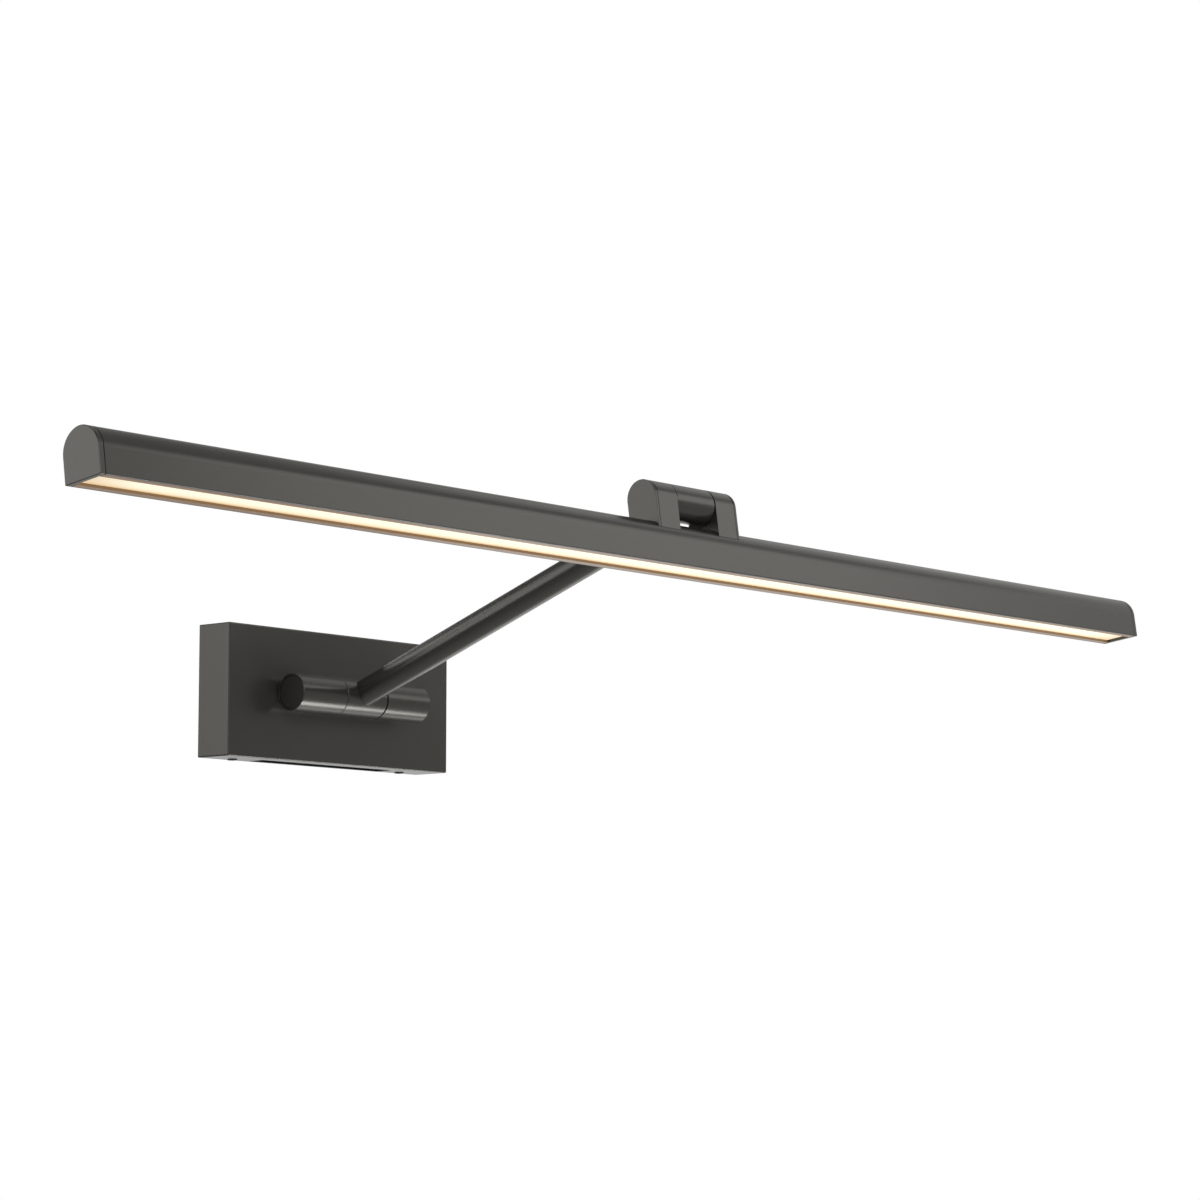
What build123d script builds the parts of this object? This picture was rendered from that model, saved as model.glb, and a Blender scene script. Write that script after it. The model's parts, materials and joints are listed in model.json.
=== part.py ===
from build123d import *
import math
import os

# Picture light: a wall canopy, a tilting arm and a long tilting LED head.
# Millimetres. The origin lies on the wall plane, midway between the two wall screws.
# X runs along the wall, +Y points into the wall and +Z is up.

# ---------------------------------------------------------------- driving dimensions
CANOPY_WIDTH = 176.0
CANOPY_HEIGHT = 74.0
CANOPY_DEPTH = 24.0
CANOPY_WALL = 1.6
CANOPY_EDGE_RADIUS = 0.8
NOTCH_LENGTH = 104.0
NOTCH_DEPTH = 14.5
NOTCH_CLEARANCE = 0.5  # each side of the bracket's tongue

BARREL_RADIUS = 10.5
BARREL_LENGTH = 102.0
BARREL_STANDOFF = 11.0  # barrel axis to the canopy's front face
HUB_LENGTH = 32.0

ARM_LENGTH = 255.0  # barrel axis to head hinge axis
ARM_ELEVATION = 20.1  # degrees above level, at rest
ARM_TUBE_RADIUS = 7.7

HINGE_RADIUS = 9.8
HINGE_LENGTH = 67.0
HINGE_OPENING = 32.0  # clear distance between the two ears
HINGE_DROP = 24.3  # hinge axis down to the centre of the housing's arch

HEAD_LENGTH = 838.0
HEAD_WIDTH = 23.7
HEAD_SIDE_HEIGHT = 12.9  # straight part of each side, below the arch
HEAD_LIP_RADIUS = 0.5  # rounding of the two long bottom edges
HEAD_TILT = 8.0  # degrees, the top leaning towards the wall, at rest
END_CAP_THICKNESS = 3.3

WALL_SCREW_SPACING = 83.3  # single-gang wall box
WALL_SLOT_LENGTH = 12.0
WALL_SLOT_WIDTH = 4.8

LEAD_RADIUS = 1.4  # two-core low-voltage lead
WIRE_RADIUS = 0.9  # single mains wire
FIT = 0.05  # radial clearance of a shaft, thread or plug in its hole
SEAM = 0.3  # gap where two covers butt together
SEAM_CHAMFER = 0.3
INSET = 0.15  # gap round a part that drops into a pocket
SHANK_STEP = 0.1  # a screw's shank ends this far inside the far face
LEFT_GAP = 0.3  # thin washer side of each pivot
RIGHT_GAP = 0.8  # thick washer side of each pivot

# ---------------------------------------------------------------- derived places
FRONT = -CANOPY_DEPTH
FRONT_INSIDE = FRONT + CANOPY_WALL
ARM_AXIS = Vector(0, FRONT - BARREL_STANDOFF, 0)
ARM_DIRECTION = Vector(
    0,
    -math.cos(math.radians(ARM_ELEVATION)),
    math.sin(math.radians(ARM_ELEVATION)),
)
HEAD_AXIS = ARM_AXIS + ARM_DIRECTION * ARM_LENGTH
HEAD_FRAME = Location(tuple(HEAD_AXIS), (-HEAD_TILT, 0, 0))
HEAD_BOTTOM = -(HINGE_DROP + HEAD_SIDE_HEIGHT)  # in the head's frame
ARCH_RADIUS = HEAD_WIDTH / 2
HOUSING_HALF = HEAD_LENGTH / 2 - END_CAP_THICKNESS
BOTH_SIDES = (-1, 1)


# ---------------------------------------------------------------- shape helpers
def rod(radius, start, end):
    """Solid cylinder from start to end."""
    start = Vector(start)
    span = Vector(end) - start
    upright = (Align.CENTER, Align.CENTER, Align.MIN)
    return Plane(origin=start, z_dir=span) * Cylinder(radius, span.length, align=upright)


def ring(outer, inner, start, end):
    """Hollow cylinder from start to end."""
    return rod(outer, start, end) - rod(inner, start, end)


def hex_nut(across_flats, bore, start, end):
    """Hexagonal nut from start to end."""
    start = Vector(start)
    span = Vector(end) - start
    outline = RegularPolygon(across_flats / 2, 6, major_radius=False)
    body = extrude(Plane(origin=start, z_dir=span) * outline, span.length)
    return body - rod(bore, start, end)


def block(low, high):
    """Box between two opposite corners."""
    size = Vector(high) - Vector(low)
    centre = (Vector(high) + Vector(low)) * 0.5
    return Pos(centre.X, centre.Y, centre.Z) * Box(size.X, size.Y, size.Z)


def screw(seat, direction, head_radius, head_height, shank_radius, shank_length):
    """Pan-head screw with a hexagon socket; its shank leaves the seat along direction."""
    plane = Plane(origin=seat, z_dir=direction)
    upright = (Align.CENTER, Align.CENTER, Align.MIN)
    hanging = (Align.CENTER, Align.CENTER, Align.MAX)
    shank = Cylinder(shank_radius, shank_length, align=upright)
    head = Cylinder(head_radius, head_height, align=hanging)
    head = chamfer(head.edges().sort_by(Axis.Z)[0], head_height * 0.25)
    socket_depth = head_height * 0.6
    socket = extrude(RegularPolygon(head_radius * 0.42, 6, major_radius=False), socket_depth)
    return plane * (head + shank - Pos(0, 0, -head_height) * socket)


def lead(radius, points, bends):
    """Round wire along straight runs joined by tangent arcs, one radius for each corner."""
    path = FilletPolyline(*points, radius=bends)
    section = Plane(origin=path @ 0, z_dir=path % 0) * Circle(radius)
    return sweep(section, path=path)


def slab(outline, start, end):
    """Extrude an outline drawn in the (Y, Z) plane along X, from start to end."""
    plane = Plane(origin=(start, 0, 0), x_dir=(0, 1, 0), z_dir=(1, 0, 0))
    return extrude(plane * outline, end - start)


def along_x(axis, x):
    """Point at x on a pivot axis."""
    return (x, axis.Y, axis.Z)


def on_arm(distance):
    """Point on the arm's centre line, at a distance from the barrel axis."""
    return ARM_AXIS + ARM_DIRECTION * distance


def seam_edges(body, x):
    """Edges of a slab's end face at x."""
    return body.faces().filter_by(Axis.X).sort_by(lambda face: abs(face.center().X - x))[0].edges()


# ---------------------------------------------------------------- wall bracket
BRACKET_THICKNESS = 2.0
BRACKET_HALF_WIDTH = 78.0
BRACKET_TOP = 33.0
BRACKET_BOTTOM = -31.0
WIRE_ENTRY_RADIUS = 9.0
COVER_SCREW_X = 67.0
COVER_SCREW_Y = -5.5
COVER_THREAD_RADIUS = 1.9
TAB_HALF_WIDTH = 8.0
TAB_DEPTH = 11.0
TONGUE_BOTTOM = -37.0  # the plate's tongue closes the wall side of the cable notch
COVER_GAP = 0.2  # tabs to the inside of the cover
GROUND_SCREW = (62.0, -BRACKET_THICKNESS, -17.0)
GROUND_SCREW_SHANK = 2.0
GROUND_SCREW_HEAD = 4.0
GROUND_SCREW_HEAD_HEIGHT = 2.4


def wall_bracket():
    cover_inside = CANOPY_HEIGHT / 2 - CANOPY_WALL - COVER_GAP
    plate = block(
        (-BRACKET_HALF_WIDTH, -BRACKET_THICKNESS, BRACKET_BOTTOM),
        (BRACKET_HALF_WIDTH, 0, BRACKET_TOP),
    )
    tongue_half = NOTCH_LENGTH / 2 - NOTCH_CLEARANCE
    plate += block(
        (-tongue_half, -BRACKET_THICKNESS, TONGUE_BOTTOM),
        (tongue_half, 0, BRACKET_BOTTOM),
    )
    slot = SlotOverall(WALL_SLOT_LENGTH, WALL_SLOT_WIDTH)
    cover_hole = COVER_THREAD_RADIUS + FIT
    driver_hole = DRIVER_SCREW_RADIUS + FIT
    for side in BOTH_SIDES:
        centre = side * COVER_SCREW_X
        for level in BOTH_SIDES:
            outer = level * cover_inside
            inner = level * (cover_inside - BRACKET_THICKNESS)
            plate += block(
                (centre - TAB_HALF_WIDTH, -TAB_DEPTH, min(outer, inner)),
                (centre + TAB_HALF_WIDTH, 0, max(outer, inner)),
            )
            reach = level * (cover_inside - 3 * BRACKET_THICKNESS)
            plate += block(
                (centre - TAB_HALF_WIDTH, -BRACKET_THICKNESS, min(outer, reach)),
                (centre + TAB_HALF_WIDTH, 0, max(outer, reach)),
            )
        hole = (centre, COVER_SCREW_Y)
        plate -= rod(cover_hole, (*hole, -CANOPY_HEIGHT / 2), (*hole, BRACKET_BOTTOM))
        slot_place = (side * WALL_SCREW_SPACING / 2, 0, 0)
        slot_plane = Plane(origin=slot_place, x_dir=(1, 0, 0), z_dir=(0, -1, 0))
        plate -= extrude(slot_plane * slot, BRACKET_THICKNESS)
        ear = side * DRIVER_EAR_X
        plate -= rod(driver_hole, (ear, 0, DRIVER_EAR_Z), (ear, -BRACKET_THICKNESS, DRIVER_EAR_Z))
    plate -= rod(WIRE_ENTRY_RADIUS, (0, 0, 0), (0, -BRACKET_THICKNESS, 0))
    ground = Vector(GROUND_SCREW)
    plate -= rod(GROUND_SCREW_SHANK + FIT, ground, ground + Vector(0, BRACKET_THICKNESS, 0))
    return plate


def ground_screw():
    return screw(
        GROUND_SCREW,
        (0, 1, 0),
        GROUND_SCREW_HEAD,
        GROUND_SCREW_HEAD_HEIGHT,
        GROUND_SCREW_SHANK,
        BRACKET_THICKNESS - SHANK_STEP,
    )


# ---------------------------------------------------------------- canopy cover
MOUNT_X = 42.0  # nipples that carry the barrel
NIPPLE_RADIUS = 4.0
NIPPLE_BORE = 2.2
COVER_SCREW_HEAD = 2.75
COVER_SCREW_HEAD_HEIGHT = 0.6


def canopy_cover():
    half_width = CANOPY_WIDTH / 2
    half_height = CANOPY_HEIGHT / 2
    shell = block((-half_width, FRONT, -half_height), (half_width, 0, half_height))
    front_edges = shell.faces().sort_by(Axis.Y)[0].edges()
    shell = fillet(front_edges + shell.edges().filter_by(Axis.Y), CANOPY_EDGE_RADIUS)
    shell -= block(
        (CANOPY_WALL - half_width, FRONT_INSIDE, CANOPY_WALL - half_height),
        (half_width - CANOPY_WALL, 0, half_height - CANOPY_WALL),
    )
    shell -= block(
        (-NOTCH_LENGTH / 2, -NOTCH_DEPTH, -half_height),
        (NOTCH_LENGTH / 2, 0, CANOPY_WALL - half_height),
    )
    for side in BOTH_SIDES:
        mount = side * MOUNT_X
        shell -= rod(NIPPLE_RADIUS + FIT, (mount, FRONT, 0), (mount, FRONT_INSIDE, 0))
        hole = (side * COVER_SCREW_X, COVER_SCREW_Y)
        hole_radius = COVER_THREAD_RADIUS + FIT
        shell -= rod(hole_radius, (*hole, -half_height), (*hole, CANOPY_WALL - half_height))
    return shell


def cover_screws():
    shank = CANOPY_WALL + COVER_GAP + BRACKET_THICKNESS
    return [
        screw(
            (side * COVER_SCREW_X, COVER_SCREW_Y, -CANOPY_HEIGHT / 2),
            (0, 0, 1),
            COVER_SCREW_HEAD,
            COVER_SCREW_HEAD_HEIGHT,
            COVER_THREAD_RADIUS,
            shank,
        )
        for side in BOTH_SIDES
    ]


# ---------------------------------------------------------------- LED driver
DRIVER_HALF_LENGTH = 58.0
DRIVER_LOW = 11.0
DRIVER_HIGH = 31.5
DRIVER_FRONT = -17.0
DRIVER_WALL = 1.2
DRIVER_EAR_HALF = 4.0
DRIVER_EAR_X = DRIVER_HALF_LENGTH + DRIVER_EAR_HALF
DRIVER_EAR_Z = 26.5
DRIVER_EAR_THICKNESS = 1.5
DRIVER_SCREW_RADIUS = 1.5
DRIVER_SCREW_HEAD = 2.7
DRIVER_SCREW_HEAD_HEIGHT = 1.8
DRIVER_RIM = 1.0  # thickness of the lid's locating rim
DRIVER_RIM_DEPTH = 1.5
POST_RADIUS = 2.5
BOARD_BACK = -5.0
BOARD_FRONT = -6.2
BOARD_GAP = 0.4  # board to the case walls
TRANSFORMER_X = 10.0  # half lengths of the core, its window and the coil
TRANSFORMER_WINDOW_X = 6.0
TRANSFORMER_COIL_X = 5.5
TRANSFORMER_FRONT = -14.5
TRANSFORMER_WINDOW_BACK = -12.0
TRANSFORMER_LOW = 13.5
TRANSFORMER_HIGH = 29.0
TRANSFORMER_FRAME = 2.0  # core left above and below its window
COIL_PROUD = 0.5  # coil in front of the core, and inside the window's edges
CAPACITOR_RADIUS = 4.0
CAPACITOR_FRONT = -15.0
CAPACITOR_PLACES = ((-36, 20), (-26, 22), (26, 20), (38, 22))


def driver_case():
    back = -BRACKET_THICKNESS
    case = block(
        (-DRIVER_HALF_LENGTH, DRIVER_FRONT, DRIVER_LOW),
        (DRIVER_HALF_LENGTH, back, DRIVER_HIGH),
    )
    case -= block(
        (DRIVER_WALL - DRIVER_HALF_LENGTH, DRIVER_FRONT, DRIVER_LOW + DRIVER_WALL),
        (DRIVER_HALF_LENGTH - DRIVER_WALL, back - DRIVER_WALL, DRIVER_HIGH - DRIVER_WALL),
    )
    for side in BOTH_SIDES:
        inner = side * DRIVER_HALF_LENGTH
        outer = side * (DRIVER_EAR_X + DRIVER_EAR_HALF)
        ear = block(
            (min(inner, outer), back - DRIVER_EAR_THICKNESS, DRIVER_EAR_Z - DRIVER_EAR_HALF),
            (max(inner, outer), back, DRIVER_EAR_Z + DRIVER_EAR_HALF),
        )
        centre = (side * DRIVER_EAR_X, back, DRIVER_EAR_Z)
        front = (side * DRIVER_EAR_X, back - DRIVER_EAR_THICKNESS, DRIVER_EAR_Z)
        case += ear - rod(DRIVER_SCREW_RADIUS + FIT, centre, front)
        post = side * (DRIVER_HALF_LENGTH - DRIVER_WALL - POST_RADIUS - BOARD_GAP)
        middle = (DRIVER_LOW + DRIVER_HIGH) / 2
        case += rod(POST_RADIUS, (post, back - DRIVER_WALL, middle), (post, BOARD_BACK, middle))
    return case


def driver_lid():
    lid = block(
        (-DRIVER_HALF_LENGTH, DRIVER_FRONT - DRIVER_WALL, DRIVER_LOW),
        (DRIVER_HALF_LENGTH, DRIVER_FRONT, DRIVER_HIGH),
    )
    rim_back = DRIVER_FRONT + DRIVER_RIM_DEPTH
    outer = DRIVER_WALL + INSET
    inner = outer + DRIVER_RIM
    rim = block(
        (outer - DRIVER_HALF_LENGTH, DRIVER_FRONT, DRIVER_LOW + outer),
        (DRIVER_HALF_LENGTH - outer, rim_back, DRIVER_HIGH - outer),
    )
    rim -= block(
        (inner - DRIVER_HALF_LENGTH, DRIVER_FRONT, DRIVER_LOW + inner),
        (DRIVER_HALF_LENGTH - inner, rim_back, DRIVER_HIGH - inner),
    )
    return lid + rim


def driver_board():
    inset = DRIVER_WALL + BOARD_GAP
    return block(
        (inset - DRIVER_HALF_LENGTH, BOARD_FRONT, DRIVER_LOW + inset),
        (DRIVER_HALF_LENGTH - inset, BOARD_BACK, DRIVER_HIGH - inset),
    )


def driver_transformer():
    core = block(
        (-TRANSFORMER_X, TRANSFORMER_FRONT, TRANSFORMER_LOW),
        (TRANSFORMER_X, BOARD_FRONT, TRANSFORMER_HIGH),
    )
    window_low = TRANSFORMER_LOW + TRANSFORMER_FRAME
    window_high = TRANSFORMER_HIGH - TRANSFORMER_FRAME
    core -= block(
        (-TRANSFORMER_WINDOW_X, TRANSFORMER_FRONT, window_low),
        (TRANSFORMER_WINDOW_X, TRANSFORMER_WINDOW_BACK, window_high),
    )
    return core + block(
        (-TRANSFORMER_COIL_X, TRANSFORMER_FRONT - COIL_PROUD, window_low + COIL_PROUD),
        (TRANSFORMER_COIL_X, TRANSFORMER_WINDOW_BACK, window_high - COIL_PROUD),
    )


def driver_capacitors():
    return [
        rod(CAPACITOR_RADIUS, (x, BOARD_FRONT, z), (x, CAPACITOR_FRONT, z))
        for x, z in CAPACITOR_PLACES
    ]


def driver_screws():
    seat = -BRACKET_THICKNESS - DRIVER_EAR_THICKNESS
    shank = BRACKET_THICKNESS + DRIVER_EAR_THICKNESS - SHANK_STEP
    return [
        screw(
            (side * DRIVER_EAR_X, seat, DRIVER_EAR_Z),
            (0, 1, 0),
            DRIVER_SCREW_HEAD,
            DRIVER_SCREW_HEAD_HEIGHT,
            DRIVER_SCREW_RADIUS,
            shank,
        )
        for side in BOTH_SIDES
    ]


# ---------------------------------------------------------------- terminals and wires
TERMINAL_HALF_LENGTH = 15.0
TERMINAL_LOW = -29.0
TERMINAL_HIGH = -15.0
TERMINAL_FRONT = -13.0
POLES = 3
POLE_PITCH = 9.0
POLE_RADIUS = 2.2
POLE_DEPTH = 6.0
TERMINAL_SCREW_RADIUS = 2.0
TERMINAL_SCREW_HEIGHT = 1.6
INPUT_WIRES = ((16.0, -20.0, 66.0), (20.0, -24.0, 72.0))  # start z, end z, outer x
WIRE_Y = -9.0
WIRE_BEND = 0.8  # bend radius as a share of the run out from the driver


def pole_places():
    return [(index - (POLES - 1) / 2) * POLE_PITCH for index in range(POLES)]


def terminal_block():
    middle = (TERMINAL_LOW + TERMINAL_HIGH) / 2
    body = block(
        (-TERMINAL_HALF_LENGTH, TERMINAL_FRONT, TERMINAL_LOW),
        (TERMINAL_HALF_LENGTH, -BRACKET_THICKNESS, TERMINAL_HIGH),
    )
    for x in pole_places():
        body -= rod(POLE_RADIUS, (x, TERMINAL_FRONT, middle), (x, TERMINAL_FRONT + POLE_DEPTH, middle))
    return body


def terminal_screws():
    middle = (TERMINAL_LOW + TERMINAL_HIGH) / 2
    back = TERMINAL_FRONT + POLE_DEPTH
    front = back - TERMINAL_SCREW_HEIGHT
    return [rod(TERMINAL_SCREW_RADIUS, (x, front, middle), (x, back, middle)) for x in pole_places()]


def input_wires():
    wires = []
    for start, end, outer in INPUT_WIRES:
        points = [
            (DRIVER_HALF_LENGTH, WIRE_Y, start),
            (outer, WIRE_Y, start),
            (outer, WIRE_Y, end),
            (TERMINAL_HALF_LENGTH, WIRE_Y, end),
        ]
        bend = (outer - DRIVER_HALF_LENGTH) * WIRE_BEND
        wires.append(lead(WIRE_RADIUS, points, [bend, bend]))
    return wires


# ---------------------------------------------------------------- pivots
# Both pivots are alike: hollow spindles fixed in the middle piece turn in the outer
# pieces, and each is pulled up by a nut against a spring washer in a chamber.
HUB_LEFT = -HUB_LENGTH / 2 + LEFT_GAP / 2
HUB_RIGHT = HUB_LENGTH / 2 - RIGHT_GAP / 2
KNUCKLE_LEFT = -HINGE_OPENING / 2 + LEFT_GAP
KNUCKLE_RIGHT = HINGE_OPENING / 2 - RIGHT_GAP

ARM_SPINDLE_RADIUS = 4.0
ARM_SPINDLE_SPAN = (8.0, 34.5)
ARM_SHOULDER = 28.0
ARM_SPRING = 1.5
ARM_NUT = 4.0
ARM_NUT_FLATS = 10.0
BARREL_CHAMBER_RADIUS = 7.5
BARREL_PLUG_RADIUS = 9.3
BARREL_PLUG_DEPTH = 3.5
BARREL_PLUG_RECESS = 0.5

HEAD_SPINDLE_RADIUS = 3.5
HEAD_SPINDLE_SPAN = (6.5, 24.3)
HEAD_SHOULDER = 20.0
HEAD_SPRING = 0.8
HEAD_NUT = 3.0
HEAD_NUT_FLATS = 8.0
EAR_CHAMBER_RADIUS = 6.4
SPINDLE_BORE = 1.9
RING_STEP = 0.3  # washer bores over their spindle
ARM_SPRING_RADIUS = 6.8
ARM_WASHER_RADIUS = 8.8
HEAD_SPRING_RADIUS = 5.8
HEAD_WASHER_RADIUS = 8.2


def spindles(axis, radius, span):
    return [
        ring(radius, SPINDLE_BORE, along_x(axis, side * span[0]), along_x(axis, side * span[1]))
        for side in BOTH_SIDES
    ]


def spring_washers(axis, radius, bore, seat, thickness):
    far = seat + thickness
    return [
        ring(radius, bore, along_x(axis, side * seat), along_x(axis, side * far))
        for side in BOTH_SIDES
    ]


def spindle_nuts(axis, flats, bore, seat, thickness):
    far = seat + thickness
    return [
        hex_nut(flats, bore, along_x(axis, side * seat), along_x(axis, side * far))
        for side in BOTH_SIDES
    ]


def friction_washers(axis, radius, bore, gaps):
    return [ring(radius, bore, along_x(axis, low), along_x(axis, high)) for low, high in gaps]


# ---------------------------------------------------------------- barrel and its fixings
BOSS_RADIUS = 6.0
NIPPLE_SPAN = (-15.5, -27.4)
NIPPLE_WASHER = 1.0
NIPPLE_NUT = 4.0
NIPPLE_NUT_FLATS = 13.0
NIPPLE_WASHER_RADIUS = 7.5
BARREL_CHAMFER = 0.3


def barrel_end(side):
    """Fixed outer piece of the barrel, with the boss that stands on the canopy."""
    inner = HUB_LENGTH / 2 + (LEFT_GAP if side < 0 else RIGHT_GAP) / 2
    outer = BARREL_LENGTH / 2
    body = rod(BARREL_RADIUS, along_x(ARM_AXIS, side * inner), along_x(ARM_AXIS, side * outer))
    end_edge = body.edges().sort_by(lambda edge: abs(edge.center().X - side * outer))[0]
    body = chamfer(end_edge, BARREL_CHAMFER)
    mount = side * MOUNT_X
    body += rod(BOSS_RADIUS, (mount, FRONT, 0), (mount, ARM_AXIS.Y, 0))
    plug_seat = outer - BARREL_PLUG_RECESS - BARREL_PLUG_DEPTH
    bore = ARM_SPINDLE_RADIUS + FIT
    body -= rod(bore, along_x(ARM_AXIS, side * inner), along_x(ARM_AXIS, side * ARM_SHOULDER))
    body -= rod(
        BARREL_CHAMBER_RADIUS,
        along_x(ARM_AXIS, side * ARM_SHOULDER),
        along_x(ARM_AXIS, side * plug_seat),
    )
    body -= rod(
        BARREL_PLUG_RADIUS + FIT,
        along_x(ARM_AXIS, side * plug_seat),
        along_x(ARM_AXIS, side * outer),
    )
    return body - rod(NIPPLE_RADIUS + FIT, (mount, FRONT, 0), (mount, ARM_AXIS.Y, 0))


def barrel_plugs():
    plugs = []
    for side in BOTH_SIDES:
        outer = side * (BARREL_LENGTH / 2 - BARREL_PLUG_RECESS)
        inner = outer - side * BARREL_PLUG_DEPTH
        plug = rod(BARREL_PLUG_RADIUS, along_x(ARM_AXIS, inner), along_x(ARM_AXIS, outer))
        rim = plug.edges().sort_by(lambda edge: abs(edge.center().X - outer))[0]
        plugs.append(chamfer(rim, BARREL_CHAMFER))
    return plugs


def barrel_nipples():
    back, front = NIPPLE_SPAN
    return [
        ring(NIPPLE_RADIUS, NIPPLE_BORE, (x, back, 0), (x, front, 0))
        for x in (-MOUNT_X, MOUNT_X)
    ]


def nipple_washers():
    front = FRONT_INSIDE
    back = front + NIPPLE_WASHER
    return [
        ring(NIPPLE_WASHER_RADIUS, NIPPLE_RADIUS + FIT, (x, front, 0), (x, back, 0))
        for x in (-MOUNT_X, MOUNT_X)
    ]


def nipple_nuts():
    front = FRONT_INSIDE + NIPPLE_WASHER
    back = front + NIPPLE_NUT
    return [
        hex_nut(NIPPLE_NUT_FLATS, NIPPLE_RADIUS + FIT, (x, front, 0), (x, back, 0))
        for x in (-MOUNT_X, MOUNT_X)
    ]


DRIVE_LEAD_START = 16.0  # height where it leaves the driver
DRIVE_LEAD_X = -76.0  # its run down the canopy's left side


def drive_lead():
    """Lead from the driver, round inside the canopy and through the left nipple to the pivot."""
    points = [
        (-DRIVER_HALF_LENGTH, WIRE_Y, DRIVE_LEAD_START),
        (DRIVE_LEAD_X, WIRE_Y, DRIVE_LEAD_START),
        (DRIVE_LEAD_X, WIRE_Y, 0),
        (-MOUNT_X, WIRE_Y, 0),
        (-MOUNT_X, ARM_AXIS.Y, 0),
        (-HUB_LENGTH / 2, ARM_AXIS.Y, 0),
    ]
    return lead(LEAD_RADIUS, points, [7.5, 7.5, 6.0, 6.0])


# ---------------------------------------------------------------- arm
NIPPLE_INSET = 6.2  # arm nipples start this far from each pivot axis
ARM_NIPPLE_LENGTH = 18.0
ARM_NIPPLE_RADIUS = 5.0
ARM_NIPPLE_BORE = 2.6
HUB_CHAMBER = (6.0, 7.5)  # radius, half length
KNUCKLE_CHAMBER = (5.6, 6.0)
TUBE_SADDLE_GAP = 0.02
TUBE_START = 7.0  # inside each pivot, before the tube's end is cut to fit it


def pivot_middle(axis, radius, ends, bore, chamber, outward):
    """Turning middle piece of a pivot, with a threaded hole for the arm's nipple."""
    body = rod(radius, along_x(axis, ends[0]), along_x(axis, ends[1]))
    body = chamfer(body.edges().filter_by(GeomType.CIRCLE), SEAM_CHAMFER)
    body -= rod(bore, along_x(axis, ends[0]), along_x(axis, ends[1]))
    body -= rod(chamber[0], along_x(axis, -chamber[1]), along_x(axis, chamber[1]))
    return body - rod(ARM_NIPPLE_RADIUS + FIT, axis, axis + outward * (2 * radius))


def arm_hub():
    ends = (HUB_LEFT, HUB_RIGHT)
    bore = ARM_SPINDLE_RADIUS + FIT
    return pivot_middle(ARM_AXIS, BARREL_RADIUS, ends, bore, HUB_CHAMBER, ARM_DIRECTION)


def arm_knuckle():
    ends = (KNUCKLE_LEFT, KNUCKLE_RIGHT)
    bore = HEAD_SPINDLE_RADIUS + FIT
    return pivot_middle(HEAD_AXIS, HINGE_RADIUS, ends, bore, KNUCKLE_CHAMBER, ARM_DIRECTION * -1)


def arm_tube():
    ends = (on_arm(TUBE_START), on_arm(ARM_LENGTH - TUBE_START))
    body = ring(ARM_TUBE_RADIUS, ARM_NIPPLE_RADIUS + FIT, *ends)
    reach = 2 * ARM_TUBE_RADIUS
    for axis, radius in ((ARM_AXIS, BARREL_RADIUS), (HEAD_AXIS, HINGE_RADIUS)):
        body -= rod(radius + TUBE_SADDLE_GAP, along_x(axis, -reach), along_x(axis, reach))
    return body


def arm_nipples():
    far = ARM_LENGTH - NIPPLE_INSET
    spans = (
        (NIPPLE_INSET, NIPPLE_INSET + ARM_NIPPLE_LENGTH),
        (far - ARM_NIPPLE_LENGTH, far),
    )
    return [
        ring(ARM_NIPPLE_RADIUS, ARM_NIPPLE_BORE, on_arm(start), on_arm(end))
        for start, end in spans
    ]


def arm_lead():
    """Lead inside the arm, from the barrel axis up the tube to the head's hinge axis."""
    points = [
        along_x(ARM_AXIS, -HUB_LENGTH / 2),
        ARM_AXIS,
        HEAD_AXIS,
        along_x(HEAD_AXIS, KNUCKLE_LEFT - LEFT_GAP / 2),
    ]
    return lead(LEAD_RADIUS, points, [5.0, 5.0])


# ---------------------------------------------------------------- head, in its own frame
# Here X runs along the head, Z along its middle plane, and the origin is the hinge axis.
HINGE_CAP_THICKNESS = 1.6
EAR_INNER = HINGE_OPENING / 2
EAR_OUTER = HINGE_LENGTH / 2 - HINGE_CAP_THICKNESS - SEAM
EAR_FOOT = -20.0
DUCT_HOLE_X = -28.6
DUCT_HOLE_RADIUS = 2.2
EAR_SCREW_X = (18.5, 23.5)
EAR_SCREW_HEAD = 2.4
EAR_SCREW_HEAD_HEIGHT = 2.0
EAR_SCREW_RADIUS = 1.5
EAR_SCREW_SEAT = -15.05
EAR_SCREW_TOP = -8.5
HOLE_STEP = 0.5  # a blind hole is this much deeper than its screw
SPIGOT_DEPTH = 0.5
ZERO = Vector(0, 0, 0)


def ear_outline():
    return Pos(0, EAR_FOOT / 2) * Rectangle(2 * HINGE_RADIUS, -EAR_FOOT) + Circle(HINGE_RADIUS)


def saddle_cut():
    """Clears the housing's arch under the ears and hinge caps."""
    reach = HINGE_LENGTH
    return rod(ARCH_RADIUS + TUBE_SADDLE_GAP, (-reach, 0, -HINGE_DROP), (reach, 0, -HINGE_DROP))


def hinge_ear(side):
    body = slab(ear_outline(), *sorted((side * EAR_INNER, side * EAR_OUTER)))
    body = chamfer(seam_edges(body, side * EAR_OUTER), SEAM_CHAMFER)
    body -= saddle_cut()
    body -= rod(HEAD_SPINDLE_RADIUS + FIT, (side * EAR_INNER, 0, 0), (side * HEAD_SHOULDER, 0, 0))
    body -= rod(EAR_CHAMBER_RADIUS, (side * HEAD_SHOULDER, 0, 0), (side * EAR_OUTER, 0, 0))
    for x in EAR_SCREW_X:
        top = EAR_SCREW_TOP + HOLE_STEP
        body -= rod(EAR_SCREW_RADIUS + FIT, (side * x, 0, EAR_FOOT), (side * x, 0, top))
    if side < 0:
        body -= rod(DUCT_HOLE_RADIUS, (DUCT_HOLE_X, 0, EAR_FOOT), (DUCT_HOLE_X, 0, 0))
    return HEAD_FRAME * body


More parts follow.
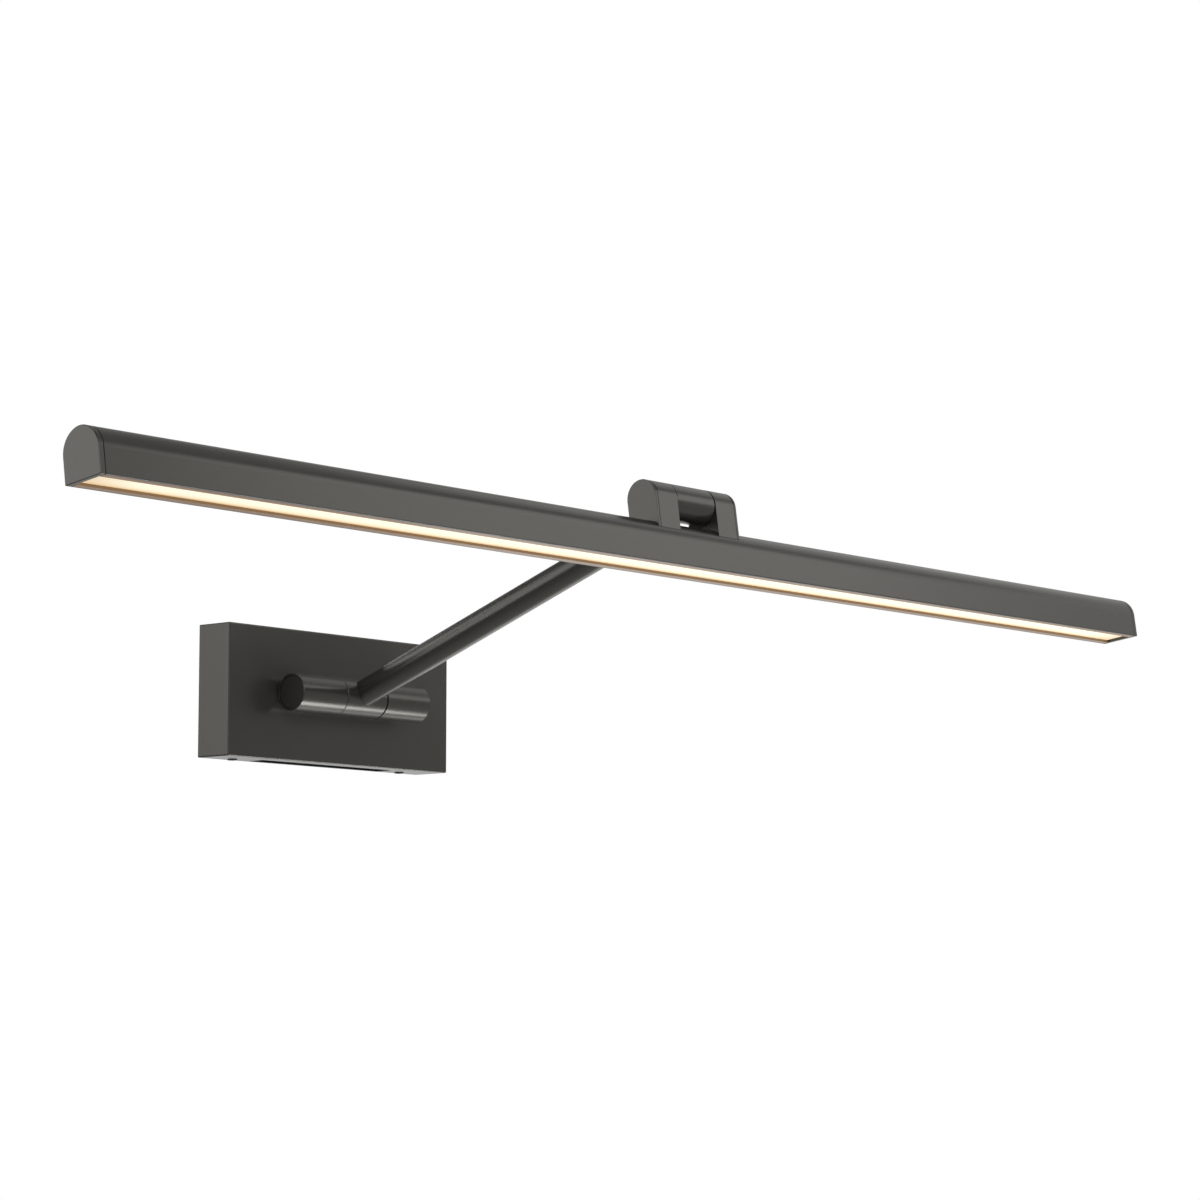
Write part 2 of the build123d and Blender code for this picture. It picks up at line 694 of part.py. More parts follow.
def hinge_cap(side):
    outer = side * HINGE_LENGTH / 2
    inner = outer - side * HINGE_CAP_THICKNESS
    body = slab(ear_outline(), *sorted((inner, outer)))
    body = chamfer(seam_edges(body, inner), SEAM_CHAMFER)
    body = chamfer(seam_edges(body, outer), SEAM_CHAMFER)
    tip = inner - side * SPIGOT_DEPTH
    spigot = rod(EAR_CHAMBER_RADIUS - FIT, (inner, 0, 0), (tip, 0, 0))
    return HEAD_FRAME * (body + spigot - saddle_cut())


def ear_screws():
    return [
        HEAD_FRAME
        * screw(
            (side * x, 0, EAR_SCREW_SEAT),
            (0, 0, 1),
            EAR_SCREW_HEAD,
            EAR_SCREW_HEAD_HEIGHT,
            EAR_SCREW_RADIUS,
            EAR_SCREW_TOP - EAR_SCREW_SEAT,
        )
        for side in BOTH_SIDES
        for x in EAR_SCREW_X
    ]


# Heights below are above the head's flat bottom.
CHANNEL_HALF = 7.6
GROOVE_HALF = 10.0
GROOVE_LOW = 1.3
GROOVE_HIGH = 3.4
WEB_LOW = 10.0
WEB_HIGH = 12.0
DUCT_HALF = 9.75
BOARD_HALF_WIDTH = 7.2
BOARD_HALF_LENGTH = 408.0
TAPE_LOW = 9.8
BOARD_LOW = 8.2
WINDOW_HALF = (4.0, 3.0)
CHIP_SIZE = (3.5, 2.8, 0.8)
CHIP_COUNT = 81
CHIP_PITCH = 10.0
BOARD_SCREW_X = (-375.0, -225.0, -75.0, 75.0, 225.0, 375.0)
BOARD_SCREW_Y = 5.0
BOARD_SCREW_RADIUS = 1.2
BOARD_SCREW_HEAD = 2.0
BOARD_SCREW_HEAD_HEIGHT = 1.2
DIFFUSER_GAP = 0.1  # above and below the diffuser in its groove
DIFFUSER_END_GAP = 0.3
TONGUE_LENGTH = 7.0  # end cap's tongue in the duct
CONNECTOR_HALF = (5.0, 4.0)
CONNECTOR_GAP = 0.4  # round its foot in the windows
LEAD_HEIGHT = 16.5
CONNECTOR_TOP = LEAD_HEIGHT + 2.5


def bottom_frame(shape):
    """Place a shape drawn above the head's flat bottom."""
    return HEAD_FRAME * Pos(0, 0, HEAD_BOTTOM) * shape


def arch_outline(half_width, low, spring):
    """Arch-topped outline: straight sides from low up to the spring line."""
    sides = Pos(0, (low + spring) / 2) * Rectangle(2 * half_width, spring - low)
    top = Pos(0, spring) * Circle(half_width)
    above = Rectangle(4 * half_width, 4 * spring, align=(Align.CENTER, Align.MIN))
    return (sides + top) & (Pos(0, low) * above)


def head_outline():
    """Outside of the head: an arch whose two bottom corners are slightly rounded."""
    outline = arch_outline(ARCH_RADIUS, 0, HEAD_SIDE_HEIGHT)
    return fillet(outline.vertices().group_by(Axis.Y)[0], HEAD_LIP_RADIUS)


def housing_outline():
    outline = head_outline()
    outline -= Pos(0, WEB_LOW / 2) * Rectangle(2 * CHANNEL_HALF, WEB_LOW)
    groove_middle = (GROOVE_LOW + GROOVE_HIGH) / 2
    outline -= Pos(0, groove_middle) * Rectangle(2 * GROOVE_HALF, GROOVE_HIGH - GROOVE_LOW)
    return outline - arch_outline(DUCT_HALF, WEB_HIGH, HEAD_SIDE_HEIGHT)


def window_cut(low, high):
    """Cuts the window that the board's connector passes through."""
    half_x, half_y = WINDOW_HALF
    return block((-half_x, -half_y, low), (half_x, half_y, high))


def board_holes(low, high):
    radius = BOARD_SCREW_RADIUS + FIT
    return [rod(radius, (x, BOARD_SCREW_Y, low), (x, BOARD_SCREW_Y, high)) for x in BOARD_SCREW_X]


def head_housing():
    body = slab(housing_outline(), -HOUSING_HALF, HOUSING_HALF)
    roof = (HEAD_SIDE_HEIGHT + ARCH_RADIUS + 1.0, HEAD_SIDE_HEIGHT + DUCT_HALF - 1.0)
    for side in BOTH_SIDES:
        for x in EAR_SCREW_X:
            body -= rod(EAR_SCREW_RADIUS + FIT, (side * x, 0, roof[0]), (side * x, 0, roof[1]))
    body -= rod(DUCT_HOLE_RADIUS, (DUCT_HOLE_X, 0, roof[0]), (DUCT_HOLE_X, 0, roof[1]))
    return bottom_frame(body - window_cut(WEB_LOW, WEB_HIGH) - board_holes(WEB_LOW, WEB_HIGH))


def end_cap(side):
    """Flat cap that closes one end, with a tongue pushed into the housing's duct."""
    outer = side * HEAD_LENGTH / 2
    inner = side * (HOUSING_HALF + SEAM)
    body = slab(head_outline(), *sorted((inner, outer)))
    body = chamfer(seam_edges(body, inner), SEAM_CHAMFER)
    body = chamfer(seam_edges(body, outer), SEAM_CHAMFER)
    tip = inner - side * TONGUE_LENGTH
    duct = arch_outline(DUCT_HALF - INSET, WEB_HIGH + INSET, HEAD_SIDE_HEIGHT)
    return bottom_frame(body + slab(duct, *sorted((inner, tip))))


def diffuser():
    half_length = HOUSING_HALF - DIFFUSER_END_GAP
    half_width = GROOVE_HALF - INSET
    return bottom_frame(
        block(
            (-half_length, -half_width, GROOVE_LOW + DIFFUSER_GAP),
            (half_length, half_width, GROOVE_HIGH - DIFFUSER_GAP),
        )
    )


def board_layer(low, high, window):
    """Strip under the web, with holes for the board screws and an optional window."""
    body = block(
        (-BOARD_HALF_LENGTH, -BOARD_HALF_WIDTH, low),
        (BOARD_HALF_LENGTH, BOARD_HALF_WIDTH, high),
    )
    body -= board_holes(low, high)
    if window:
        body -= window_cut(low, high)
    return bottom_frame(body)


def led_chips():
    length, width, height = CHIP_SIZE
    first = -(CHIP_COUNT - 1) / 2 * CHIP_PITCH
    centre = BOARD_LOW - height / 2
    return [
        bottom_frame(Pos(first + index * CHIP_PITCH, 0, centre) * Box(length, width, height))
        for index in range(CHIP_COUNT)
    ]


def board_screws():
    return [
        bottom_frame(
            screw(
                (x, BOARD_SCREW_Y, BOARD_LOW),
                (0, 0, 1),
                BOARD_SCREW_HEAD,
                BOARD_SCREW_HEAD_HEIGHT,
                BOARD_SCREW_RADIUS,
                WEB_HIGH - BOARD_LOW,
            )
        )
        for x in BOARD_SCREW_X
    ]


def board_connector():
    seat = WEB_HIGH + FIT
    half_x, half_y = CONNECTOR_HALF
    body = block((-half_x, -half_y, seat), (half_x, half_y, CONNECTOR_TOP))
    foot_x = WINDOW_HALF[0] - CONNECTOR_GAP
    foot_y = WINDOW_HALF[1] - CONNECTOR_GAP
    return bottom_frame(body + block((-foot_x, -foot_y, TAPE_LOW), (foot_x, foot_y, seat)))


def head_lead():
    """Lead from the hinge axis, down through the left ear and along the duct to the board."""
    height = HEAD_BOTTOM + LEAD_HEIGHT
    points = [
        (KNUCKLE_LEFT - LEFT_GAP / 2, 0, 0),
        (DUCT_HOLE_X, 0, 0),
        (DUCT_HOLE_X, 0, height),
        (-CONNECTOR_HALF[0], 0, height),
    ]
    return HEAD_FRAME * lead(LEAD_RADIUS, points, [4.5, 5.0])


# ---------------------------------------------------------------- assembly
def in_head(solids):
    return [HEAD_FRAME * solid for solid in solids]


barrel_gaps = ((-HUB_LENGTH / 2 - LEFT_GAP / 2, HUB_LEFT), (HUB_RIGHT, HUB_LENGTH / 2 + RIGHT_GAP / 2))
hinge_gaps = ((-EAR_INNER, KNUCKLE_LEFT), (KNUCKLE_RIGHT, EAR_INNER))
arm_washer_bore = ARM_SPINDLE_RADIUS + RING_STEP
head_washer_bore = HEAD_SPINDLE_RADIUS + RING_STEP

nodes = {
    "wall_bracket": wall_bracket(),
    "ground_screw": ground_screw(),
    "canopy_cover": canopy_cover(),
    "cover_screws": cover_screws(),
    "driver_case": driver_case(),
    "driver_lid": driver_lid(),
    "driver_board": driver_board(),
    "driver_transformer": driver_transformer(),
    "driver_capacitors": driver_capacitors(),
    "driver_screws": driver_screws(),
    "terminal_block": terminal_block(),
    "terminal_screws": terminal_screws(),
    "input_wires": input_wires(),
    "drive_lead": drive_lead(),
    "barrel_left": barrel_end(-1),
    "barrel_right": barrel_end(1),
    "barrel_plugs": barrel_plugs(),
    "barrel_nipples": barrel_nipples(),
    "nipple_washers": nipple_washers(),
    "nipple_nuts": nipple_nuts(),
    "barrel_spring_washers": spring_washers(
        ARM_AXIS, ARM_SPRING_RADIUS, arm_washer_bore, ARM_SHOULDER, ARM_SPRING
    ),
    "barrel_friction_washers": friction_washers(
        ARM_AXIS, ARM_WASHER_RADIUS, arm_washer_bore, barrel_gaps
    ),
    "arm_hub": arm_hub(),
    "arm_spindles": spindles(ARM_AXIS, ARM_SPINDLE_RADIUS, ARM_SPINDLE_SPAN),
    "arm_spindle_nuts": spindle_nuts(
        ARM_AXIS, ARM_NUT_FLATS, ARM_SPINDLE_RADIUS + FIT, ARM_SHOULDER + ARM_SPRING, ARM_NUT
    ),
    "arm_tube": arm_tube(),
    "arm_nipples": arm_nipples(),
    "arm_knuckle": arm_knuckle(),
    "hinge_spindles": spindles(HEAD_AXIS, HEAD_SPINDLE_RADIUS, HEAD_SPINDLE_SPAN),
    "hinge_spindle_nuts": spindle_nuts(
        HEAD_AXIS, HEAD_NUT_FLATS, HEAD_SPINDLE_RADIUS + FIT, HEAD_SHOULDER + HEAD_SPRING, HEAD_NUT
    ),
    "arm_lead": arm_lead(),
    "hinge_ear_left": hinge_ear(-1),
    "hinge_ear_right": hinge_ear(1),
    "hinge_cap_left": hinge_cap(-1),
    "hinge_cap_right": hinge_cap(1),
    "ear_screws": ear_screws(),
    "hinge_spring_washers": in_head(
        spring_washers(ZERO, HEAD_SPRING_RADIUS, head_washer_bore, HEAD_SHOULDER, HEAD_SPRING)
    ),
    "hinge_friction_washers": in_head(
        friction_washers(ZERO, HEAD_WASHER_RADIUS, head_washer_bore, hinge_gaps)
    ),
    "head_housing": head_housing(),
    "end_cap_left": end_cap(-1),
    "end_cap_right": end_cap(1),
    "diffuser": diffuser(),
    "led_board": board_layer(BOARD_LOW, TAPE_LOW, False),
    "thermal_tape": board_layer(TAPE_LOW, WEB_LOW, True),
    "led_chips": led_chips(),
    "board_screws": board_screws(),
    "board_connector": board_connector(),
    "head_lead": head_lead(),
}

os.makedirs("parts", exist_ok=True)
for name, solid in nodes.items():
    if isinstance(solid, list):
        solid = Compound(children=solid)
    export_step(solid, os.path.join("parts", name + ".step"))
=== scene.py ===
import json
import math

import bpy
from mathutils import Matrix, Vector


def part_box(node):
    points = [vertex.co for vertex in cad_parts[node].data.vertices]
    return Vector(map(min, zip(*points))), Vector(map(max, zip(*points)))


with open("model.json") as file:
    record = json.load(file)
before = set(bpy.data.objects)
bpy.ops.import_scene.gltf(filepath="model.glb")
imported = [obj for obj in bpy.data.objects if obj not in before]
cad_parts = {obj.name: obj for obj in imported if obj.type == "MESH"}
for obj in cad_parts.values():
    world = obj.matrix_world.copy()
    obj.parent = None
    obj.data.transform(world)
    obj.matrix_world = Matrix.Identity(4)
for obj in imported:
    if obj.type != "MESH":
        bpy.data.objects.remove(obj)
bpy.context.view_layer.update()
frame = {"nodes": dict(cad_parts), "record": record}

NODES = frame["nodes"]
MM = 0.001

# Camera: left of the head, in front and a little below, looking up.
CAMERA_PLACE = (-1.4346, -1.4445, -0.188)
CAMERA_YAW = 49.461  # degrees from +Y towards +X
CAMERA_PITCH = 6.94
LENS = 106.6
SENSOR = 36.0

FLOOR_LEVEL = -1.25
FLOOR_RADIUS = 18.0
FLOOR_SIDES = 96

# Light. Azimuths go from +X towards +Y; sizes and distances in metres, powers in watts.
SKY_AMBIENT = 0.05
SKY_LOBES = (  # direction, sharpness, strength
    ((1.0, 0.0, 0.0), 2.0, 0.45),
    ((0.0, 0.0, -1.0), 2.0, 0.30),
    ((0.77, 0.64, 0.0), 14.0, 0.70),
)
LIGHT_TARGET = (0.0, -0.2, 0.03)
LAMPS = (  # name, azimuth, elevation, distance, size, power
    ("key", -44, 24, 1.6, (0.7, 0.7), 1.8),
    ("key_low", -22, 14, 1.6, (0.7, 0.7), 0.6),
    ("side", 151, 6, 1.4, (1.1, 0.8), 4.0),
    ("front_fill", -140, 20, 1.6, (0.9, 0.9), 3.5),
    ("front", -100, 10, 2.0, (2.0, 1.2), 6.5),
    ("bounce", -16, -56, 1.4, (0.5, 0.7), 8.2),
    ("high_right", 3, 38, 1.3, (0.7, 0.7), 0.55),
    ("low_back", 31, -35, 1.6, (0.6, 0.8), 1.4),
    ("back", 95, 12, 1.8, (2.0, 1.0), 12.0),
    ("top", 60, 80, 1.6, (0.8, 0.6), 5.0),
)


# ---------------------------------------------------------------- node helpers
class Shader:
    """A material with a Principled shader and short ways to feed it."""

    def __init__(self, name, material=None):
        self.material = material or bpy.data.materials.new(name)
        self.material.use_nodes = True
        self.tree = self.material.node_tree
        self.bsdf = self.tree.nodes["Principled BSDF"]
        self.place = self.add("ShaderNodeTexCoord").outputs["Object"]

    def add(self, kind, inputs=None, **settings):
        node = self.tree.nodes.new(kind)
        for key, value in settings.items():
            setattr(node, key, value)
        for key, value in (inputs or {}).items():
            self.feed(node.inputs[key], value)
        return node

    def feed(self, socket, value):
        if isinstance(value, bpy.types.NodeSocket):
            self.tree.links.new(value, socket)
        else:
            socket.default_value = value

    def set(self, **values):
        for key, value in values.items():
            self.feed(self.bsdf.inputs[key.replace("_", " ")], value)
        return self

    def noise(self, size, detail=3.0, roughness=0.5, stretch=(1, 1, 1)):
        """Noise whose features are about size metres across."""
        mapping = {"Vector": self.place, "Scale": stretch}
        scaled = self.add("ShaderNodeMapping", mapping).outputs["Vector"]
        inputs = {"Vector": scaled, "Scale": 1.0 / size, "Detail": detail, "Roughness": roughness}
        return self.add("ShaderNodeTexNoise", inputs).outputs["Fac"]

    def cells(self, size, feature="F1", output="Distance"):
        inputs = {"Vector": self.place, "Scale": 1.0 / size}
        return self.add("ShaderNodeTexVoronoi", inputs, feature=feature).outputs[output]

    def spread(self, value, low, high, start=0.0, end=1.0):
        """Map a 0 to 1 value to the range low to high."""
        inputs = {"Value": value, "From Min": start, "From Max": end, "To Min": low, "To Max": high}
        return self.add("ShaderNodeMapRange", inputs).outputs["Result"]

    def combine(self, operation, first, second=0.0):
        """One number from two, or from the first alone where the operation takes one."""
        inputs = {0: first, 1: second}
        return self.add("ShaderNodeMath", inputs, operation=operation).outputs["Value"]

    def blend(self, amount, first, second):
        """Mix two colours, each a colour or a socket."""
        node = self.add("ShaderNodeMix", data_type="RGBA")
        self.feed(node.inputs["Factor"], amount)
        self.feed(node.inputs["A"], (*first, 1.0) if isinstance(first, tuple) else first)
        self.feed(node.inputs["B"], (*second, 1.0) if isinstance(second, tuple) else second)
        return node.outputs["Result"]

    def rounded(self, radius):
        """The surface's normal with sharp edges rounded to radius metres."""
        return self.add("ShaderNodeBevel", {"Radius": radius}, samples=4).outputs["Normal"]

    def edges(self, radius):
        """0 on flat faces and 1 along sharp edges, within radius metres of them."""
        normals = {0: self.rounded(radius), 1: self.add("ShaderNodeNewGeometry").outputs["Normal"]}
        dot = self.add("ShaderNodeVectorMath", normals, operation="DOT_PRODUCT").outputs["Value"]
        return self.spread(dot, 1.0, 0.0, 0.75, 0.995)

    def bump(self, height, strength, distance, soften=0.0):
        inputs = {"Height": height, "Strength": strength, "Distance": distance}
        if soften:
            inputs["Normal"] = self.rounded(soften)
        self.set(Normal=self.add("ShaderNodeBump", inputs).outputs["Normal"])
        return self


def dim(colour, factor):
    return tuple(channel * factor for channel in colour)


# ---------------------------------------------------------------- materials
BRONZE = (0.104, 0.100, 0.090)
# Width of the lighter band along sharp edges, partly wear and partly a painted edge highlight.
WEAR_AND_HIGHLIGHT_EDGE = 0.35 * MM

OPAL_FRONT = (1.0, 0.91, 0.68)
# Darker, warmer back colours of the glow: painted shade of the recess's back wall.
OPAL_BACK_PAINTED_SHADE = ((0.84, 0.60, 0.29), (0.90, 0.66, 0.34))
OPAL_RIM = (0.55, 0.29, 0.08)
OPAL_STRENGTH = 0.80
OPAL_END_FADE = 30.0 * MM

HEAD_LEAN = 8.0  # degrees, the head's top towards the wall at rest
# Painted glow: warm emission on the head housing around the lit diffuser.
PAINTED_GLOW_COLOUR = (1.0, 0.46, 0.13, 1)
PAINTED_GLOW_STRENGTH = 0.14
PAINTED_GLOW_HALF_WIDTH = 10.2 * MM
PAINTED_GLOW_FADE = 0.7 * MM


def coated_metal(name, colour, metallic=0.5):
    """Satin powder coat: fine grain, faint orange peel, and lighter edges that are partly wear and partly a
    painted highlight.
    """
    s = Shader(name)
    clouds = s.noise(0.06, 4.0)
    grain = s.noise(0.0004, 2.0, 0.6)
    tone = s.blend(clouds, dim(colour, 0.93), dim(colour, 1.07))
    tone = s.blend(s.spread(grain, 0.0, 0.35, 0.55, 0.8), tone, dim(colour, 1.8))
    # Lighter along sharp edges in random patches: partly wear, partly a painted edge highlight.
    worn = s.spread(s.noise(0.004, 3.0), 0.0, 0.5, 0.35, 0.75)
    wear_and_highlight = s.combine("MULTIPLY", s.edges(WEAR_AND_HIGHLIGHT_EDGE), worn)
    tone = s.blend(wear_and_highlight, tone, dim(colour, 2.0))
    s.set(Base_Color=tone, Metallic=metallic, Roughness=s.spread(clouds, 0.23, 0.29))
    peel = s.noise(0.0011, 2.0, 0.55)
    return s.bump(peel, 0.10, 0.02 * MM, 0.25 * MM).material


def coat_with_painted_glow(name, colour, source):
    """The same coat with a painted warm glow: emission standing in for the light that a lit plate, the
    source node, gives what frames it below.
    """
    s = Shader(name, coated_metal(name, colour))
    low, high = (Vector(corner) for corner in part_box(source))
    middle = (low + high) / 2
    turn = {"Vector": s.place, "Center": middle, "Angle": math.radians(HEAD_LEAN)}
    level = s.add("ShaderNodeVectorRotate", turn, rotation_type="X_AXIS").outputs["Vector"]
    ends = {0: level, 1: middle}
    apart = s.add("ShaderNodeVectorMath", ends, operation="SUBTRACT").outputs["Vector"]
    place = s.add("ShaderNodeSeparateXYZ", {"Vector": apart}).outputs
    aside = s.combine("ABSOLUTE", place["Y"])
    inside = s.spread(aside, PAINTED_GLOW_STRENGTH, 0.0, PAINTED_GLOW_HALF_WIDTH, PAINTED_GLOW_HALF_WIDTH + PAINTED_GLOW_FADE)
    under = s.spread(place["Z"], 1.0, 0.0, -0.5 * MM, 0.5 * MM)
    # Painted glow: the coat emits warm light in a band along the plate and below it.
    s.set(Emission_Color=PAINTED_GLOW_COLOUR, Emission_Strength=s.combine("MULTIPLY", inside, under))
    return s.material


def bare_steel(name, colour, grain_size, roughness):
    """Plated or galvanised steel with drawn grain and duller patches."""
    s = Shader(name)
    drawn = s.noise(grain_size, 4.0, 0.6, (0.08, 1, 1))
    patches = s.noise(0.012, 4.0)
    tone = s.blend(patches, dim(colour, 0.82), colour)
    tone = s.blend(s.spread(drawn, 0.0, 0.4, 0.4, 0.8), tone, dim(colour, 1.15))
    s.set(Base_Color=tone, Metallic=0.95, Roughness=s.spread(patches, roughness, roughness + 0.16))
    return s.bump(drawn, 0.15, 0.02 * MM, 0.15 * MM).material


def moulded(name, colour, roughness, specks=0.06, grain=0.0007):
    """Moulded plastic or rubber: fine mould texture and faint streaks of tone."""
    s = Shader(name)
    flow = s.noise(0.02, 3.0, 0.5, (0.4, 1, 1))
    texture = s.noise(grain, 2.0)
    tone = s.blend(flow, dim(colour, 1 - specks), dim(colour, 1 + specks))
    s.set(Base_Color=tone, Roughness=s.spread(texture, roughness - 0.05, roughness + 0.08))
    return s.bump(texture, 0.12, 0.03 * MM, 0.2 * MM).material


def circuit_board(name, mask, copper):
    """Solder mask over copper tracks, with a fibre weave under it."""
    s = Shader(name)
    tracks = s.cells(0.0032, "DISTANCE_TO_EDGE")
    over_copper = s.spread(tracks, 1.0, 0.0, 0.10, 0.16)
    weave = s.noise(0.0006, 1.0, 0.5, (1, 0.3, 1))
    tone = s.blend(over_copper, mask, copper)
    tone = s.blend(s.spread(weave, 0.0, 0.2), tone, dim(mask, 0.7))
    s.set(Base_Color=tone, Roughness=s.spread(weave, 0.28, 0.42))
    return s.bump(over_copper, 0.25, 0.04 * MM).material


def opal(name, node):
    """Lit opal acrylic: white at the front, darker and warmer towards the back as a painted shade of the
    recess, and amber where it dims along its rim.
    """
    s = Shader(name)
    low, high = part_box(node)
    clouds = s.noise(0.09, 2.0, 0.4, (0.2, 1, 1))
    satin = s.noise(0.0005, 2.0)
    place = s.add("ShaderNodeSeparateXYZ", {"Vector": s.place}).outputs
    across = s.spread(place["Y"], -1.0, 1.0, low[1], high[1])
    # Painted shade: the emission turns darker and warmer towards the back of the recess.
    glow = s.blend(s.spread(across, 0.0, 1.0), OPAL_FRONT, s.blend(clouds, *OPAL_BACK_PAINTED_SHADE))
    dim_sides = s.spread(s.combine("ABSOLUTE", across), 0.0, 1.0, 0.50, 0.84)
    dim_ends = s.spread(s.combine("ABSOLUTE", place["X"]), 0.0, 0.6, high[0] - OPAL_END_FADE, high[0])
    glow = s.blend(s.combine("MAXIMUM", dim_sides, dim_ends), glow, OPAL_RIM)
    s.set(Base_Color=(0.55, 0.52, 0.46, 1), Roughness=s.spread(satin, 0.38, 0.5))
    s.set(Emission_Color=glow, Emission_Strength=OPAL_STRENGTH)
    return s.bump(satin, 0.06, 0.02 * MM).material


def phosphor(name):
    """Yellow phosphor domes of the light-emitting chips."""
    s = Shader(name)
    grains = s.noise(0.0003, 3.0)
    tone = s.blend(grains, (0.85, 0.62, 0.12), (0.98, 0.83, 0.30))
    s.set(Base_Color=tone, Roughness=0.3, Emission_Color=(1.0, 0.85, 0.55, 1), Emission_Strength=1.0)
    return s.bump(grains, 0.2, 0.02 * MM).material


MATERIALS = {
    "bronze_coat": coated_metal("bronze_coat", BRONZE),
    "plated_steel": bare_steel("plated_steel", (0.62, 0.61, 0.58), 0.0005, 0.26),
    "black_steel": coated_metal("black_steel", (0.035, 0.035, 0.036), 0.3),
    "green_steel": moulded("green_steel", (0.03, 0.25, 0.07), 0.32),
    "black_nylon": moulded("black_nylon", (0.012, 0.012, 0.012), 0.6),
    "driver_plastic": moulded("driver_plastic", (0.74, 0.74, 0.71), 0.5, 0.03),
    "circuit_board": circuit_board("circuit_board", (0.015, 0.10, 0.035), (0.04, 0.20, 0.06)),
    "white_board": circuit_board("white_board", (0.82, 0.82, 0.80), (0.72, 0.70, 0.64)),
    "ferrite": moulded("ferrite", (0.035, 0.033, 0.035), 0.62, 0.15, 0.0004),
    "capacitor_sleeve": moulded("capacitor_sleeve", (0.010, 0.012, 0.03), 0.25),
    "terminal_plastic": moulded("terminal_plastic", (0.76, 0.75, 0.69), 0.38, 0.03),
    "wire_jacket": moulded("wire_jacket", (0.018, 0.017, 0.017), 0.42),
    "lead_jacket": moulded("lead_jacket", (0.05, 0.05, 0.05), 0.42),
    "opal_diffuser": opal("opal_diffuser", "diffuser"),
    "tape": moulded("tape", (0.60, 0.61, 0.64), 0.7),
    "led_phosphor": phosphor("led_phosphor"),
}


NODE_MATERIALS = {"head_housing": coat_with_painted_glow("bronze_coat_painted_glow", BRONZE, "diffuser")}


def dress_nodes():
    """Give each CAD node the finish of its material slot, or its own."""
    for row in frame["record"]["subparts"]:
        node = row["node"]
        mesh = NODES[node].data
        mesh.materials.clear()
        mesh.materials.append(NODE_MATERIALS.get(node) or MATERIALS[row["material_slot"]])


# ---------------------------------------------------------------- studio
def floor():
    """Pale floor far below, seen only by the camera and only from above, so it doesn't light the object."""
    mesh = bpy.data.meshes.new("floor")
    turns = [2 * math.pi * i / FLOOR_SIDES for i in range(FLOOR_SIDES)]
    rim = [(math.cos(turn) * FLOOR_RADIUS, math.sin(turn) * FLOOR_RADIUS, FLOOR_LEVEL) for turn in turns]
    mesh.from_pydata(rim, [], [tuple(range(FLOOR_SIDES))])
    plane = bpy.data.objects.new("floor", mesh)
    bpy.context.scene.collection.objects.link(plane)
    plane.visible_diffuse = False
    plane.visible_glossy = False
    plane.visible_shadow = False
    s = Shader("pale_floor")
    tone = s.blend(s.noise(0.8, 2.0), (0.76, 0.76, 0.75), (0.80, 0.80, 0.79))
    s.set(Base_Color=tone, Roughness=0.8, Emission_Color=tone, Emission_Strength=0.9)
    below = s.add("ShaderNodeNewGeometry").outputs["Backfacing"]
    clear = s.add("ShaderNodeBsdfTransparent").outputs["BSDF"]
    mixed = s.add("ShaderNodeMixShader", {0: below, 1: s.bsdf.outputs["BSDF"], 2: clear})
    s.feed(s.tree.nodes["Material Output"].inputs["Surface"], mixed.outputs["Shader"])
    mesh.materials.append(s.material)


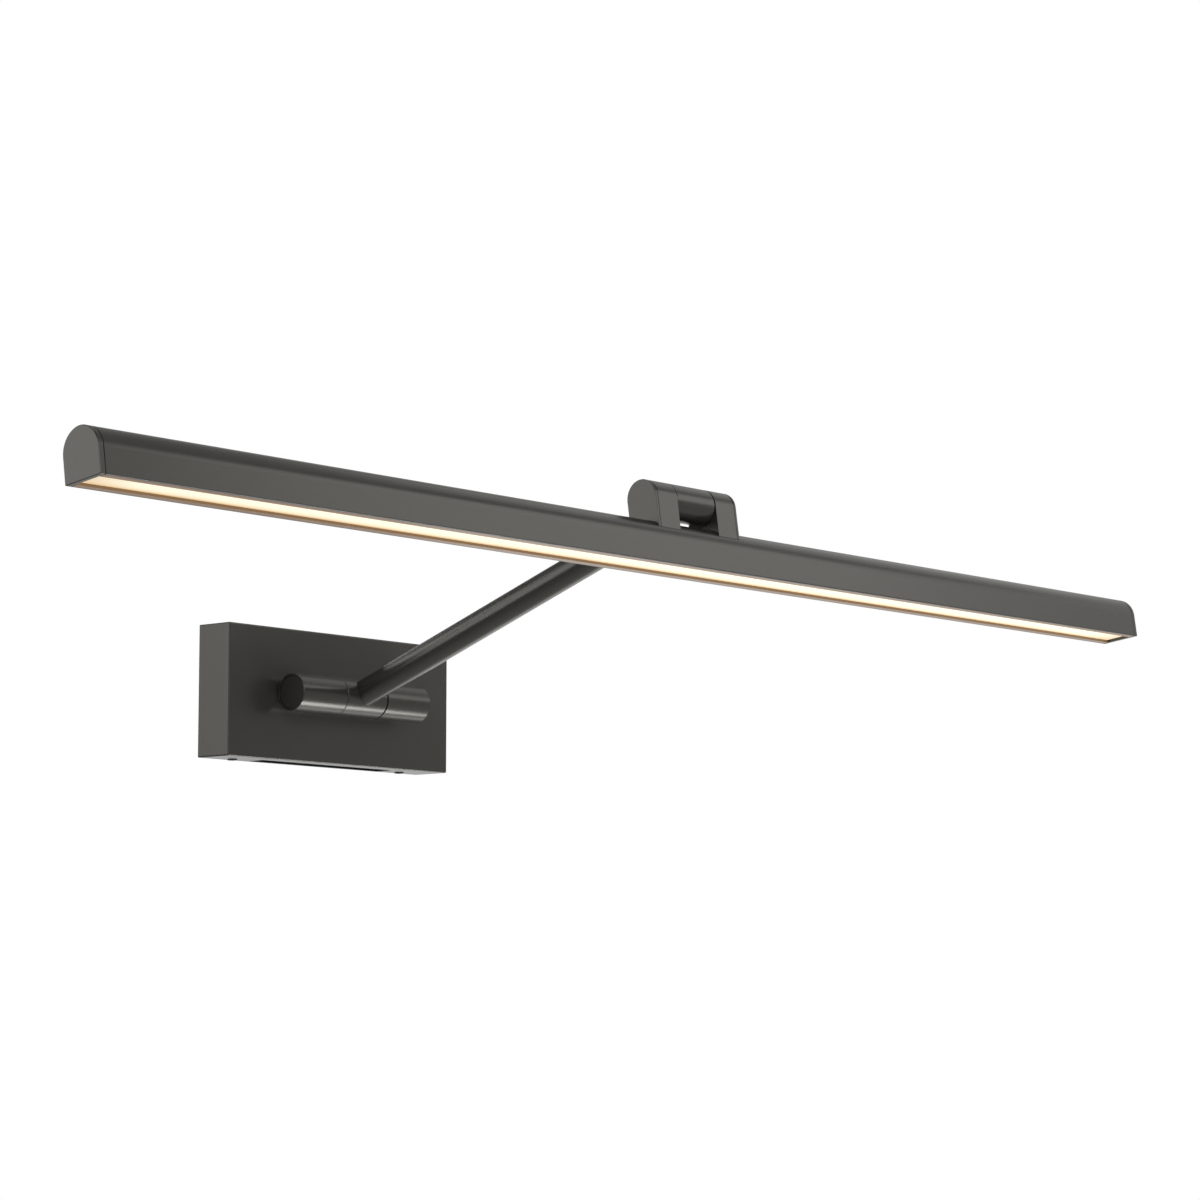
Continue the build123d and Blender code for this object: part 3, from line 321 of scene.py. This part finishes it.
def sky():
    """White backdrop for the camera. The object gets a dimmer light that comes mostly from the lobes."""
    world = bpy.data.worlds.new("white_studio")
    world.use_nodes = True
    tree = world.node_tree
    background = tree.nodes["Background"]
    background.inputs["Color"].default_value = (1.0, 1.0, 1.0, 1.0)
    direction = tree.nodes.new("ShaderNodeTexCoord").outputs["Generated"]
    total = SKY_AMBIENT
    for aim, power, strength in SKY_LOBES:
        along = tree.nodes.new("ShaderNodeVectorMath")
        along.operation = "DOT_PRODUCT"
        tree.links.new(direction, along.inputs[0])
        along.inputs[1].default_value = Vector(aim).normalized()
        terms = along.outputs["Value"]
        steps = (("MAXIMUM", 0.0), ("POWER", power), ("MULTIPLY", strength), ("ADD", total))
        for operation, value in steps:
            step = tree.nodes.new("ShaderNodeMath")
            step.operation = operation
            tree.links.new(terms, step.inputs[0])
            if isinstance(value, float):
                step.inputs[1].default_value = value
            else:
                tree.links.new(value, step.inputs[1])
            terms = step.outputs["Value"]
        total = terms
    seen = tree.nodes.new("ShaderNodeLightPath").outputs["Is Camera Ray"]
    pick = tree.nodes.new("ShaderNodeMix")
    tree.links.new(seen, pick.inputs["Factor"])
    tree.links.new(total, pick.inputs["A"])
    pick.inputs["B"].default_value = 1.0
    tree.links.new(pick.outputs["Result"], background.inputs["Strength"])
    bpy.context.scene.world = world


def soft_box(name, azimuth, elevation, distance, size, power):
    """Soft rectangular light in a direction from the object, aimed at it; the camera doesn't see it."""
    turn, lift = math.radians(azimuth), math.radians(elevation)
    away = Vector((math.cos(turn) * math.cos(lift), math.sin(turn) * math.cos(lift), math.sin(lift)))
    light = bpy.data.lights.new(name, "AREA")
    light.shape = "RECTANGLE"
    light.size, light.size_y = size
    light.energy = power
    box = bpy.data.objects.new(name, light)
    box.location = Vector(LIGHT_TARGET) + away * distance
    box.rotation_mode = "QUATERNION"
    box.rotation_quaternion = (-away).to_track_quat("-Z", "Y")
    box.visible_camera = False
    bpy.context.scene.collection.objects.link(box)


def camera():
    data = bpy.data.cameras.new("camera")
    data.lens = LENS
    data.sensor_width = SENSOR
    data.clip_end = 100.0
    view = bpy.data.objects.new("camera", data)
    yaw, pitch = math.radians(CAMERA_YAW), math.radians(CAMERA_PITCH)
    ahead = Vector((math.sin(yaw) * math.cos(pitch), math.cos(yaw) * math.cos(pitch), math.sin(pitch)))
    view.location = CAMERA_PLACE
    view.rotation_mode = "QUATERNION"
    view.rotation_quaternion = ahead.to_track_quat("-Z", "Y")
    bpy.context.scene.collection.objects.link(view)
    bpy.context.scene.camera = view
    bpy.context.scene.view_settings.view_transform = "Standard"


camera()
sky()
floor()
for lamp in LAMPS:
    soft_box(*lamp)
dress_nodes()
